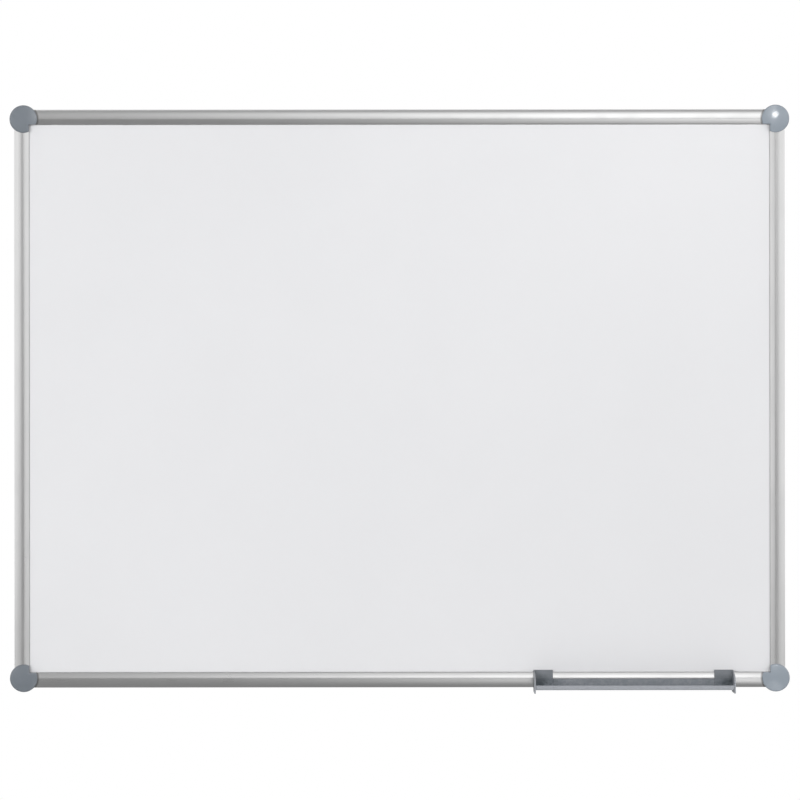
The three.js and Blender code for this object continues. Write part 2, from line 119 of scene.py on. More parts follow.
class RailSizes(bpy.types.PropertyGroup):
    """The rail's section and the holes for its screws."""

    face: length("Face", 24, "Width of the rail seen from the front")
    depth: length("Depth", 18, "Wall to crown")
    wall: length("Wall", 1.4, "Thickness of the rail's walls")
    flange: length("Flange", 1.6, "Thickness behind the panel, against the wall")
    slot: length("Slot", 4.2, "How far the rail reaches over the panel's edge")
    lip_level: length("Lip level", 11.9, "Wall to the underside of the lip")
    lip: length("Lip", 1.3, "Thickness of the lip's edge on the writing surface")
    slope: length("Slope", 8.5, "Width from the lip's edge to the crown")
    bulge: length("Bulge", 0.5, "Bulge of the slope between lip and crown")
    straight: length("Straight wall", 8, "Height at which the outer wall starts to curve in")
    rebate_width: length("Rebate width", 2.2, "Step along the outer back edge")
    rebate_depth: length("Rebate depth", 3, "Depth of that step")
    edge: length("Edge", 0.25, "Rounding of the section's small corners")
    lip_edge: length("Lip edge", 0.45, "Rounding of the lip over the writing surface")
    arch_steps: count("Arch steps", 28, "Faces across the arch")
    slope_steps: count("Slope steps", 14, "Faces across the slope")
    edge_steps: count("Edge steps", 3, "Faces across a rounded small corner")
    lip_steps: count("Lip steps", 4, "Faces across the rounded lip")


class ScrewSizes(bpy.types.PropertyGroup):
    """The countersunk screws at the back of the rails."""

    sunk: length("Sunk", 0.1, "Head below the rail's back")
    head_depth: length("Head depth", 1.5, "Wall to the bottom of the countersink")
    shank: length("Shank", 1.4, "Radius over the thread")
    root: length("Root", 1.1, "Radius under the thread")
    tip: length("Tip", 1.6, "Length of the point")
    fit: length("Fit", 0.15, "Gap round the head and the shank")
    pitch: length("Pitch", 1.1, "Rise of the thread in a turn")
    bury: length("Bury", 0.11, "How far the thread's foot lies in the shank")
    arm: length("Recess arm", 1.5, "Cross recess, from its middle")
    slit: length("Recess width", 0.7, "Width of the recess's arms")
    recess: length("Recess depth", 0.9, "Depth of the recess under the head")
    steps: count("Steps", 48, "Faces round the screw")


class CornerSizes(bpy.types.PropertyGroup):
    """The caps and the bodies under them."""

    inset: length("Inset", 15.3, "Outer faces of the rails to the middle of the corner")
    edge: length("Cap edge", 2.2, "Rounding of the cap's rim")
    dome: length("Dome", 1.2, "Rise of the cap's dome")
    rim: length("Rim", 18.3, "Wall to the cap's rim")
    skin: length("Cap skin", 1.6, "Thickness of the cap's side wall")
    ceiling: length("Ceiling", 19.5, "Wall to the inside of the cap's top")
    peg: length("Peg", 1.7, "Radius of the cap's pegs")
    peg_ring: length("Peg ring", 12.7, "Middle of the corner to the pegs")
    peg_taper: length("Peg taper", 0.6, "Chamfer at the end of a peg")
    grid: length("Dome grid", 1.6, "Spacing of the faces that shape the dome")
    body_edge: length("Body edge", 0.25, "Rounding of the corner bodies' edges")
    edge_steps: count("Edge steps", 6, "Faces across the rounded rim")
    steps: count("Steps", 96, "Faces round the cap")
    peg_steps: count("Peg steps", 32, "Faces round a peg")
    body_steps: count("Body steps", 2, "Faces across the rounded edges of the corner bodies")


class TraySizes(bpy.types.PropertyGroup):
    """The pen tray's trough and ends."""

    wall: length("Wall", 1.6, "Thickness of the trough")
    lip: length("Lip", 7.1, "Height of the trough's front lip")
    radius: length("Radius", 2.2, "Rounding along the trough's bottom edges")
    fillet: length("Fillet", 0.7, "Rounding inside the trough")
    bead: length("Bead", 0.6, "Rounding of the trough's upper edges")
    end_edge: length("End edge", 0.35, "Rounding of the tray ends' edges")
    steps: count("Steps", 8, "Faces across a rounded edge of the trough")
    end_steps: count("End steps", 3, "Faces across a rounded edge of the tray ends")


class FinishColours(bpy.types.PropertyGroup):
    """The colours of the finishes, as linear values."""

    lacquer: colour("Lacquer", (0.79, 0.792, 0.808), "White lacquer on the steel writing surface")
    alloy: colour("Aluminium", (0.8, 0.8, 0.8), "Clear anodised aluminium")
    cap: colour("Caps", (0.155, 0.178, 0.205), "Blue-grey plastic of the caps")
    body: colour("Corners", (0.155, 0.178, 0.205), "Blue-grey plastic of the corner bodies")
    # The caps' paler tone on the right is a painted sheen of the light that falls from the right
    painted_sheen: colour("Faded caps", (0.25, 0.29, 0.335), "The caps' plastic where light has faded it")
    tray: colour("Tray", (0.32, 0.335, 0.365), "Slate-grey plastic of the pen tray")
    # Painted shade deep in the pen tray, at its back and beside its cheeks
    painted_tray_shade: colour("Marker dust", (0.03, 0.045, 0.055), "Dust of dry marker ink in the tray")
    zinc: colour("Zinc", (0.62, 0.63, 0.64), "Galvanised sheet")
    plated: colour("Plated", (0.66, 0.68, 0.7), "Plated screws")
    bloom: colour("Bloom", (0.7, 0.67, 0.56), "Yellow bloom on the plating")
    worn: colour("Worn plating", (0.8, 0.8, 0.8), "Plating polished along its edges")
    paper: colour("Paper", (0.47, 0.34, 0.2), "Paper honeycomb")
    ghosts: colour("Ghost marks", (0.76, 0.775, 0.8), "Traces of wiped ink on the lacquer")
    # Painted shade of the gap under the rails' lips, with marker residue, on the lacquer
    shade_and_residue: colour("Grime", (0.3, 0.3, 0.3), "Dirt on the lacquer along the rails")
    # Painted shade on the rails along the sheet, and painted shadow of the caps on the level rails
    rail_shade: colour("Dirt", (0.2, 0.2, 0.2), "Dirt on the rails along the sheet and the caps")
    dust: colour("Dust", (0.5, 0.49, 0.47), "Dust that settles on plastic")


class StudioSettings(bpy.types.PropertyGroup):
    """The camera, the lamps and the floor."""

    distance: metres("Distance", 6.31, "Camera to the wall")
    lens: FloatProperty(name="Lens", description="Focal length", default=182.1, unit="CAMERA")
    side: length("Side", 0.6, "Camera to the right of the board's middle")
    rise: length("Rise", -2.6, "Camera above the board's middle")
    roll: FloatProperty(
        name="Roll", description="Turn of the camera", default=math.radians(0.05), subtype="ANGLE"
    )
    floor_colour: colour("Floor colour", (0.8, 0.8, 0.8), "Colour of the pale floor")
    floor_drop: metres("Floor", 1.4, "Floor below the board's middle")
    ambient: brightness("Ambient", 0.5, "Light from all sides")
    left_box: power("Left box", 113, "Large soft box in front, to the left")
    right_box: power("Right box", 92, "Large soft box in front, to the right")
    spot: power("Spot", 23, "Small lamp beside the camera")
    wall: brightness("Wall", 0.355, "Grey of the wall behind the camera, in reflections")
    ceiling: brightness("Ceiling", 0.36, "Grey of the ceiling, in reflections")
    floor: brightness("Dim floor", 0.4, "Grey of the floor, in reflections")
    window: brightness("Window", 2.6, "Pale band in the wall")
    skylight: brightness("Skylight", 1.85, "Pale band in the ceiling")
    floor_band: brightness("Floor band", 2.3, "Pale band in the floor")


# Values at which the finishes' masks start and are full

MIDDLING = (0.3, 0.7)  # of noise, over most of its spread
SMUDGED = (0.48, 0.75)  # of noise, for smudges
WIPED = (0.45, 0.75)  # of noise, for wipe marks
BROKEN = (0.35, 0.65)  # of noise, for wear along edges
DUST_CLOUDS = (0.35, 0.7)  # of noise, for settled dust
FACING_UP = (0.5, 1.0)  # of the upward part of a face's normal
WORN_EDGES = (0.52, 0.62)  # of an edge's pointiness
# the caps' painted sheen comes in over the next span
SHEEN_SPAN = (-0.4, 0.58)  # metres to the right of the board's middle

# Sizes and shares in the finishes

THINNEST_DUST = 0.2  # of the thickest
STREAK_WIDTH = 9.0  # of the spacing of drawn lines
WIPE_ANGLE = math.radians(24)
WIPE_LENGTH = 9  # of a wipe mark's width
CRYSTAL_SHIFT = 6 * MM  # how far the edges of zinc crystals wander
CELL_SEAM = 0.08  # of a honeycomb cell
# painted shade of the gap under the rails' lips, with marker residue
LIP_SHADE_WIDTH = 0.9 * MM  # on the writing sheet, along the rails
# painted shade on the rails along the sheet, and painted shadow of the caps on the level rails
RAIL_SHADE_WIDTH = 0.5 * MM  # on the rails, along the sheet
EDGE_SHADE = 0.6  # of the painted shadow beside the caps
CAP_SHADOW = (0.8 * MM, 2.8 * MM)  # outside a cap's rim, from full to none

# Painted shade in the pen tray, deepest at its back and low down beside its cheeks

SHADE_DEPTHS = (-36 * MM, -24 * MM)  # along y, from none to full
SHADE_HEIGHTS = (12 * MM, 23 * MM)  # above the trough's underside, from full to faint
SHADE_BESIDE_CHEEKS = (8 * MM, 46 * MM)  # from a cheek, from full to none
FLOOR_EDGE = 1 * MM  # of the trough's underside that stays unshaded
HIGH_SHADE = 0.1  # of the shade low down
FLOOR_SHADE = 0.56  # away from the cheeks, of the shade beside them
SHADE_SPREAD = (0.85, 1.1)  # of the shade, where it is lighter and deeper
SHADE_CLOUD_SIZE = 9 * MM

# The studio, in metres. The cards stand in for the room behind the camera.

FLOOR_SIZE = (60, 60)
FLOOR_FADE = (1.9, 3.4)  # from the board's middle, to where the floor is white
NEAR_WHITE = 0.55  # how white the floor is near the board
BAND_RIGHT = (1.2, 1.5)  # where a card's pale band goes out again, along x
BAND_REST = 0.1  # of the band beyond that
LOW_REACH = (-0.9, -0.1)  # heights over which a card's dim lower part ends
CARD_LEVELS = (0.66, 1.05)  # below and above them
WALL_CARD = {
    "middle": (0, -7.6, 1.2), "facing": (0, 1, 0), "size": (9, 5.2),
    "span": (-0.5, 1.3), "axis": "Z", "reach": (-0.2, 1.6),
}
CEILING_CARD = {
    "middle": (0, -3, 3.8), "facing": (0, 0, -1), "size": (9, 9),
    "span": (-1.0, 0.9), "axis": "Y", "reach": (-0.9, -3.8),
}
FLOOR_CARD = {
    "facing": (0, 0, 1), "size": (26, 26),
    "span": (-0.3, 1.1), "axis": "Y", "reach": (-0.45, -2.1),
}
LEFT_BOX = {"place": (-2.6, -5.4, 0.3), "width": 2.2, "reflected": False}
RIGHT_BOX = {"place": (2.6, -5.4, 1.2), "width": 2.2, "reflected": False}
SPOT = {"place": (1.1, -6.3, 1.36), "width": 0.8, "reflected": True}
SPOT_LIT = ("bottom_right", "top_right", "top_left")


# Shapes


def flat_outline(bm, points):
    """A face with its corners at the (u, v) points, standing at x = 0."""
    corners = [bm.verts.new((0, u, v)) for u, v in points]
    bm.faces.new(corners)
    return corners


def round_corners(bm, corners, reach, steps):
    """Rounds corners of a flat face, each over the given reach along its sides."""
    bmesh.ops.bevel(
        bm, geom=corners, offset=reach, offset_type="OFFSET", segments=steps,
        profile=0.5, affect="VERTICES", material=-1,
    )


def curve_corner(bm, corner, steps):
    """Turns a corner of a flat face into a curve that reaches to both of its neighbours."""
    bmesh.ops.bevel(
        bm, geom=[corner], offset=100, offset_type="PERCENT", segments=steps,
        profile=0.5, affect="VERTICES", material=-1,
    )
    bmesh.ops.remove_doubles(bm, verts=bm.verts, dist=NEAR)


def corner_at(bm, place, plane="yz"):
    """The corner that lies nearest to a point in a plane."""
    return min(bm.verts, key=lambda corner: (getattr(corner.co, plane) - Vector(place)).length)


def extruded(bm, start, run, keep=False):
    """A flat face moved to a start and run along a way, into a solid."""
    bmesh.ops.translate(bm, verts=bm.verts, vec=start)
    grown = bmesh.ops.extrude_face_region(bm, geom=bm.faces[:], use_keep_orig=keep)
    ends = [part for part in grown["geom"] if isinstance(part, bmesh.types.BMVert)]
    bmesh.ops.translate(bm, verts=ends, vec=run)
    bmesh.ops.recalc_face_normals(bm, faces=bm.faces)
    return bm


def turned(profile, steps):
    """A solid turned about the z axis from (radius, z) points that start and end on the axis."""
    bm = bmesh.new()
    points = [bm.verts.new((radius, 0, z)) for radius, z in profile]
    edges = [bm.edges.new(pair) for pair in zip(points, points[1:])]
    bmesh.ops.spin(
        bm, geom=points + edges, cent=(0, 0, 0), axis=(0, 0, 1), angle=math.tau,
        steps=steps, use_merge=True,
    )
    bmesh.ops.remove_doubles(bm, verts=bm.verts, dist=NEAR)
    bmesh.ops.recalc_face_normals(bm, faces=bm.faces)
    return bm


def block(low, high):
    """A rectangular solid between two corners."""
    bm = bmesh.new()
    bmesh.ops.create_cube(bm, size=1)
    low, high = Vector(low), Vector(high)
    bmesh.ops.scale(bm, verts=bm.verts, vec=high - low)
    bmesh.ops.translate(bm, verts=bm.verts, vec=(low + high) / 2)
    return bm


def moved(bm, matrix):
    bmesh.ops.transform(bm, matrix=matrix, verts=bm.verts)
    return bm


def together(*shapes):
    """All the shapes in the first one."""
    first = shapes[0]
    for shape in shapes[1:]:
        mesh = mesh_of(shape, "added")
        first.from_mesh(mesh)
        bpy.data.meshes.remove(mesh)
    return first


def mesh_of(bm, name):
    mesh = bpy.data.meshes.new(name)
    bm.to_mesh(mesh)
    bm.free()
    return mesh


def combined(body, tool, operation):
    """The first shape with the second one cut out of it or joined to it."""
    scene = bpy.context.scene
    objects = []
    for name, shape in (("body", body), ("tool", tool)):
        made = bpy.data.objects.new(name, mesh_of(shape, name))
        scene.collection.objects.link(made)
        objects.append(made)
    cut = objects[0].modifiers.new("Cut", "BOOLEAN")
    cut.operation = operation
    cut.solver = "EXACT"
    cut.use_self = True
    cut.object = objects[1]
    bpy.context.view_layer.update()
    result = bmesh.new()
    result.from_object(objects[0], bpy.context.evaluated_depsgraph_get())
    for made in objects:
        bpy.data.meshes.remove(made.data)
    if not result.faces:
        raise RuntimeError("the shapes could not be combined")
    return result


def quarter_turn(quarter):
    return Matrix.Rotation(math.radians(90 * quarter), 4, "Z")


def place_piece(name, bm, finish, body, node):
    """Stands a drawn shape upright as a piece that rides on a body in place of its node."""
    moved(bm, UPRIGHT)
    add_piece(name, bm, finish, body, node)


def add_piece(name, bm, finish, body, node):
    mesh = mesh_of(bm, name)
    mesh.shade_smooth()
    mesh.set_sharp_from_angle(angle=SMOOTH)
    mesh.materials.append(finish)
    piece = bpy.data.objects.new(name, mesh)
    bpy.context.scene.collection.objects.link(piece)
    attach(piece, body)
    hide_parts(node)


def refined_node(node, edge, steps):
    """A merged copy of a CAD node with its sharp edges rounded."""
    bm = bmesh.new()
    bm.from_mesh(frame["nodes"][node].data)
    bmesh.ops.remove_doubles(bm, verts=bm.verts, dist=LEVEL)
    bmesh.ops.dissolve_limit(
        bm, angle_limit=FLAT, verts=bm.verts, edges=bm.edges, use_dissolve_boundaries=False
    )
    keen = [part for part in bm.edges if part.calc_face_angle(0) > KEEN]
    bmesh.ops.bevel(
        bm, geom=keen, offset=edge, offset_type="OFFSET", segments=steps, profile=0.5,
        affect="EDGES", material=-1, clamp_overlap=True,
    )
    return bm


# Rails


def lip_top(rails):
    return rails.lip_level + rails.lip


def slope_control(rails):
    """The point that pulls the slope between lip and crown outwards."""
    start = Vector((rails.face, lip_top(rails)))
    end = Vector((rails.face - rails.slope, rails.depth))
    chord = end - start
    out = Vector((chord.y, -chord.x)).normalized()
    # A curved corner goes this far of the way from its chord to its point
    reach = math.sqrt(2) - 1
    return (start + end) / 2 + out * rails.bulge / reach


def rail_section(rails):
    """The rail's hollow section as a flat face with a hole."""
    crown = rails.face - rails.slope
    web = rails.face - rails.slot
    control = slope_control(rails)
    bm = bmesh.new()
    flat_outline(
        bm,
        [
            (rails.rebate_width, 0),
            (rails.face, 0),
            (rails.face, rails.flange),
            (web, rails.flange),
            (web, rails.lip_level),
            (rails.face, rails.lip_level),
            (rails.face, lip_top(rails)),
            control,
            (crown, rails.depth),
            (0, rails.depth),
            (0, rails.straight),
            (0, rails.rebate_depth),
            (rails.rebate_width, rails.rebate_depth),
        ],
    )
    curve_corner(bm, corner_at(bm, control), rails.slope_steps)
    curve_corner(bm, corner_at(bm, (0, rails.depth)), rails.arch_steps)
    small = [
        (rails.rebate_width, 0), (rails.face, 0), (rails.face, rails.flange),
        (rails.face, rails.lip_level), (0, rails.rebate_depth),
    ]
    round_corners(bm, [corner_at(bm, place) for place in small], rails.edge, rails.edge_steps)
    lip = [corner_at(bm, (rails.face, lip_top(rails)))]
    round_corners(bm, lip, rails.lip_edge, rails.lip_steps)
    outer = rails.rebate_width + rails.wall
    inner = web - rails.wall
    roof = rails.depth - rails.wall
    step = rails.rebate_depth + rails.wall
    chamber = bmesh.new()
    flat_outline(
        chamber,
        [
            (outer, rails.flange),
            (inner, rails.flange),
            (inner, slope_level(rails, inner) - rails.wall),
            (crown, roof),
            (rails.wall, roof),
            (rails.wall, rails.straight),
            (rails.wall, step),
            (outer, step),
        ],
    )
    curve_corner(chamber, corner_at(chamber, (rails.wall, roof)), rails.arch_steps)
    bm = together(bm, chamber)
    bmesh.ops.delete(bm, geom=bm.faces[:], context="FACES_ONLY")
    bmesh.ops.triangle_fill(bm, use_beauty=True, edges=bm.edges[:])
    return bm


def slope_level(rails, line):
    """Height of the slope's chord over a line of the rail."""
    rise_over = rails.depth - lip_top(rails)
    return lip_top(rails) + (rails.face - line) * rise_over / rails.slope


def screw_places():
    """Each rail screw's name, with the middle of its head seen in the board's plane."""
    places = {}
    for name in frame["nodes"]:
        if name.startswith("rail_screw_"):
            low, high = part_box(name)
            places[name] = Vector(((low.x + high.x) / 2, (low.z + high.z) / 2, 0))
    return places


def screw_holes(screws, places):
    """The countersunk holes at the given places."""
    low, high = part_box("rail_screw_bottom_left")
    head = (high.x - low.x) / 2 + screws.fit
    shank = screws.shank + screws.fit
    past = screws.head_depth
    through = 3 * screws.head_depth
    profile = [
        (0, -past), (head, -past), (head, 0), (shank, screws.head_depth), (shank, through),
        (0, through),
    ]
    holes = [moved(turned(profile, screws.steps), Matrix.Translation(place)) for place in places]
    return together(*holes)


class WHITEBOARD_OT_rails(bpy.types.Operator):
    """Build the four hollow rails with the holes for their screws"""

    bl_idname = "whiteboard.rails"
    bl_label = "Rails"

    def execute(self, context):
        rails = context.scene.whiteboard_rails
        screws = context.scene.whiteboard_screws
        level = anodised_aluminium("anodised_aluminium_level", "X")
        upright = anodised_aluminium("anodised_aluminium_upright", "Z")
        places = screw_places()
        for quarter, side in enumerate(SIDES):
            low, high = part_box(f"rail_{side}")
            span = max((high - low).x, (high - low).z)
            outward = OUTWARDS[quarter]
            distance = max(low.dot(outward), high.dot(outward))
            bm = extruded(rail_section(rails), (-span / 2, 0, 0), (span, 0, 0))
            moved(bm, quarter_turn(quarter) @ Matrix.Translation((0, -distance, 0)))
            mark = f"rail_screw_{side}_"
            own = [place for name, place in places.items() if name.startswith(mark)]
            bm = combined(bm, screw_holes(screws, own), "DIFFERENCE")
            finish = upright if quarter % 2 else level
            place_piece(f"{side}_rail", bm, finish, "board", f"rail_{side}")
        return {"FINISHED"}


def screw_shape(screws, length_over, head):
    """A countersunk screw with its head at the wall, a cross recess and a thread."""
    tip = length_over - screws.tip
    profile = [
        (0, screws.sunk), (head, screws.sunk), (head, 2 * screws.sunk),
        (screws.root, screws.head_depth), (screws.root, tip), (0, length_over),
    ]
    bm = turned(profile, screws.steps)
    depth = (-screws.recess, screws.sunk + screws.recess)
    half = screws.slit / 2
    cross = together(
        block((-screws.arm, -half, depth[0]), (screws.arm, half, depth[1])),
        block((-half, -screws.arm, depth[0]), (half, screws.arm, depth[1])),
    )
    bm = combined(bm, cross, "DIFFERENCE")
    return together(bm, thread_shape(screws, tip))


def thread_shape(screws, top):
    """The thread round the shank, as one closed ridge."""
    bm = bmesh.new()
    start = screws.head_depth + screws.pitch
    turns = (top - start) / screws.pitch - 1
    foot = screws.root - screws.bury
    half = screws.pitch / 3
    ridge = [
        bm.verts.new((foot, 0, start - half)),
        bm.verts.new((screws.shank, 0, start)),
        bm.verts.new((foot, 0, start + half)),
    ]
    face = bm.faces.new(ridge)
    steps = max(1, round(turns * screws.steps / 2))
    bmesh.ops.spin(
        bm, geom=[face], cent=(0, 0, 0), axis=(0, 0, 1), angle=math.tau * turns,
        dvec=(0, 0, screws.pitch * turns / steps), steps=steps, use_duplicate=False,
    )
    bmesh.ops.recalc_face_normals(bm, faces=bm.faces)
    return bm


class WHITEBOARD_OT_rail_screws(bpy.types.Operator):
    """Build the eight countersunk screws at the back of the rails"""

    bl_idname = "whiteboard.rail_screws"
    bl_label = "Rail Screws"

    def execute(self, context):
        screws = context.scene.whiteboard_screws
        finish = plated_steel("screw_plating")
        for name, place in screw_places().items():
            low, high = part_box(name)
            head = (high.x - low.x) / 2
            bm = screw_shape(screws, -low.y, head)
            moved(bm, Matrix.Translation(place))
            title = name.replace("rail_screw_", "") + "_screw"
            place_piece(title, bm, finish, "board", name)
        return {"FINISHED"}


# Corners


def peg_places(corners):
    """The middles of a cap's pegs, for the bottom left corner."""
    turns = [math.radians(degrees) for degrees in PEG_ANGLES]
    return [Vector((math.cos(turn), math.sin(turn), 0)) * corners.peg_ring for turn in turns]


def notched_disc(corners, radius, inner):
    """A round face with the square over the panel's corner cut out of it."""
    bm = bmesh.new()
    bmesh.ops.create_circle(bm, cap_ends=True, radius=radius, segments=corners.steps)
    for normal in ((1, 0, 0), (0, 1, 0)):
        bmesh.ops.bisect_plane(
            bm, geom=bm.verts[:] + bm.edges[:] + bm.faces[:], dist=NEAR,
            plane_co=(inner, inner, 0), plane_no=normal,
        )
    square = [face for face in bm.faces if min(face.calc_center_median().xy) > inner]
    bmesh.ops.delete(bm, geom=square, context="FACES")
    bmesh.ops.dissolve_faces(bm, faces=bm.faces[:])
    far = math.sqrt(radius**2 - inner**2)
    tips = [corner_at(bm, place, "xy") for place in ((far, inner), (inner, far))]
    crowding = [
        vert for vert in bm.verts
        if vert not in tips and vert.co.length > radius - LEVEL
        and min((vert.co - tip.co).length for tip in tips) < corners.edge
    ]
    bmesh.ops.dissolve_verts(bm, verts=crowding)
    return bm


def raised_disc(bm, bottom, top):
    """The solid between two levels over a flat face."""
    return extruded(bm, (0, 0, bottom), (0, 0, top - bottom), keep=True)


def cap_shape(corners, rails, radius, peg_tip, top):
    """The cap for the bottom left corner, with the middle of the corner on the z axis."""
    inner = rails.face - corners.inset
    shoulder = top - corners.dome
    bm = raised_disc(notched_disc(corners, radius, inner), corners.rim, shoulder)
    upper = [edge for edge in bm.edges if min(v.co.z for v in edge.verts) > shoulder - LEVEL]
    bmesh.ops.bevel(
        bm, geom=upper, offset=corners.edge, offset_type="OFFSET", segments=corners.edge_steps,
        profile=0.5, affect="EDGES", material=-1, clamp_overlap=False,
    )
    shape_dome(bm, corners, radius - corners.edge, shoulder)
    hollow = notched_disc(corners, radius - corners.skin, inner - corners.skin)
    raised_disc(hollow, corners.rim - corners.skin, corners.ceiling)
    bm = combined(bm, hollow, "DIFFERENCE")
    pegs = [peg_shape(corners, place, peg_tip) for place in peg_places(corners)]
    return combined(bm, together(*pegs), "UNION")


def shape_dome(bm, corners, reach, shoulder):
    """Divides the flat top into a grid and raises it, with the rounded rim, to a shallow dome."""
    lines = int(reach / corners.grid)
    for axis in ((1, 0, 0), (0, 1, 0)):
        for line in range(-lines, lines + 1):
            tops = [face for face in bm.faces if face.calc_center_median().z > shoulder - LEVEL]
            edges = {edge for face in tops for edge in face.edges}
            verts = {vert for face in tops for vert in face.verts}
            bmesh.ops.bisect_plane(
                bm, geom=[*verts, *edges, *tops], dist=NEAR,
                plane_co=Vector(axis) * line * corners.grid, plane_no=axis,
            )
    radius = (reach**2 + corners.dome**2) / (2 * corners.dome)
    for vert in bm.verts:
        distance = min(vert.co.xy.length, reach)
        if vert.co.z > corners.rim + LEVEL:
            vert.co.z += corners.dome - radius + math.sqrt(radius**2 - distance**2)


def peg_shape(corners, place, tip):
    root = corners.ceiling + corners.skin / 2
    profile = [
        (0, tip), (corners.peg - corners.peg_taper, tip), (corners.peg, tip + corners.peg_taper),
        (corners.peg, root), (0, root),
    ]
    return moved(turned(profile, corners.peg_steps), Matrix.Translation(place))


class WHITEBOARD_OT_corner_caps(bpy.types.Operator):
    """Build the four domed caps over the wall screws, each on its three pegs"""

    bl_idname = "whiteboard.corner_caps"
    bl_label = "Corner Caps"

    def execute(self, context):
        corners = context.scene.whiteboard_corners
        rails = context.scene.whiteboard_rails
        finish = cap_plastic("cap_plastic")
        for quarter, corner in enumerate(CORNERS):
            low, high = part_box(f"corner_cap_{corner}")
            middle = Vector((low.x + high.x, low.z + high.z, 0)) / 2
            bm = cap_shape(corners, rails, (high.x - low.x) / 2, -high.y, -low.y)
            moved(bm, Matrix.Translation(middle) @ quarter_turn(quarter))
            place_piece(
                f"{corner}_cap", bm, finish, f"cap_{corner}",
                f"corner_cap_{corner}",
            )
        return {"FINISHED"}


class WHITEBOARD_OT_corner_bodies(bpy.types.Operator):
    """Build the four corner bodies that hold the rails' ends"""

    bl_idname = "whiteboard.corner_bodies"
    bl_label = "Corner Bodies"

    def execute(self, context):
        corners = context.scene.whiteboard_corners
        finish = moulded_plastic("corner_plastic", context.scene.whiteboard_colours.body, 0.45)
        for corner in CORNERS:
            node = f"corner_body_{corner}"
            bm = refined_node(node, corners.body_edge, corners.body_steps)
            add_piece(f"{corner}_body", bm, finish, "board", node)
        return {"FINISHED"}


# Pen tray


def trough_section(tray, low, high):
    """The trough's section between the lowest and highest corner of its node."""
    back, front = -high.y, -low.y
    height = high.z - low.z
    bm = bmesh.new()
    flat_outline(
        bm,
        [
            (height, back),
            (height, back + tray.wall),
            (tray.wall, back + tray.wall),
            (tray.wall, front - tray.wall),
            (tray.lip, front - tray.wall),
            (tray.lip, front),
            (0, front),
            (0, back),
        ],
    )
    floors = [corner_at(bm, (0, front)), corner_at(bm, (0, back))]
    round_corners(bm, floors, tray.radius, tray.steps)
    inside = [(tray.wall, back + tray.wall), (tray.wall, front - tray.wall)]
    round_corners(bm, [corner_at(bm, place) for place in inside], tray.fillet, tray.steps)
    edges = [
        (height, back), (height, back + tray.wall), (tray.lip, front - tray.wall), (tray.lip, front)
    ]
    round_corners(bm, [corner_at(bm, place) for place in edges], tray.bead, tray.steps)
    return bm


class WHITEBOARD_OT_tray_trough(bpy.types.Operator):
    """Build the pen tray's trough"""

    bl_idname = "whiteboard.tray_trough"
    bl_label = "Tray Trough"

    def execute(self, context):
        tray = context.scene.whiteboard_tray
        low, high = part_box("tray_trough")
        bm = extruded(trough_section(tray, low, high), (low.x, 0, 0), (high.x - low.x, 0, 0))
        moved(bm, Matrix.Translation((0, low.z, 0)))
        finish = tray_plastic()
        place_piece("pen_trough", bm, finish, "tray", "tray_trough")
        return {"FINISHED"}


class WHITEBOARD_OT_tray_ends(bpy.types.Operator):
    """Build the tray's two ends, each with its cheek and its clip round the rail"""

    bl_idname = "whiteboard.tray_ends"
    bl_label = "Tray Ends"

    def execute(self, context):
        tray = context.scene.whiteboard_tray
        finish = tray_plastic()
        for end in ("left", "right"):
            node = f"tray_end_{end}"
            bm = refined_node(node, tray.end_edge, tray.end_steps)
            add_piece(f"{end}_tray_end", bm, finish, "tray", node)
        return {"FINISHED"}


class WHITEBOARD_OT_panel(bpy.types.Operator):
    """Finish the panel's three layers"""

    bl_idname = "whiteboard.panel"
    bl_label = "Panel"

    def execute(self, context):
        finishes = {
            "writing_sheet": writing_lacquer("writing_lacquer"),
            "core_board": paper_honeycomb("honeycomb_paper"),
            "backing_sheet": galvanised_steel("spangled_zinc"),
        }
        for node, finish in finishes.items():
            data = frame["nodes"][node].data
            data.materials.clear()
            data.materials.append(finish)
        return {"FINISHED"}


# Nodes


def feed(tree, socket, value):
    """Links a socket to another node's output, or sets it to a constant."""
    if isinstance(value, bpy.types.NodeSocket):
        tree.links.new(value, socket)
    else:
        socket.default_value = value


def node(tree, kind, settings=None, **inputs):
    """A new node with its settings, and each named input set or linked."""
    made = tree.nodes.new(kind)
    for key, value in (settings or {}).items():
        setattr(made, key, value)
    for key, value in inputs.items():
        feed(tree, made.inputs[key.replace("_", " ")], value)
    return made


def operate(tree, kind, operation, values):
    """The outputs of a math node whose inputs are set or linked in their order."""
    made = node(tree, kind, {"operation": operation})
    for socket, value in zip(made.inputs, values):
        feed(tree, socket, value)
    return made.outputs


def calculate(tree, operation, *values):
    return operate(tree, "ShaderNodeMath", operation, values)["Value"]


def calculate_vector(tree, operation, *values):
    return operate(tree, "ShaderNodeVectorMath", operation, values)


def product(tree, first, *others):
    """All the values multiplied."""
    for value in others:
        first = calculate(tree, "MULTIPLY", first, value)
    return first


def between(tree, value, low, high, start=0.0, end=1.0):
    """A number that goes from low to high as the value goes from start to end."""
    made = node(
        tree, "ShaderNodeMapRange",
        Value=value, From_Min=start, From_Max=end, To_Min=low, To_Max=high,
    )
    return made.outputs["Result"]


def rise(tree, value, start, end):
    """A mask that is none at the start and full at the end."""
    return between(tree, value, 0.0, 1.0, start, end)


def fall(tree, value, start, end):
    """A mask that is full at the start and none at the end."""
    return between(tree, value, 1.0, 0.0, start, end)


def mixed(tree, mask, under, over, strength=None):
    """A colour with another one over it where a mask says, at a strength."""
    share = mask if strength is None else product(tree, mask, strength)
    made = node(tree, "ShaderNodeMix", {"data_type": "RGBA"}, Factor=share, A=under, B=over)
    return made.outputs["Result"]


def axes(tree, vector):
    """A vector's X, Y and Z."""
    return node(tree, "ShaderNodeSeparateXYZ", Vector=vector).outputs


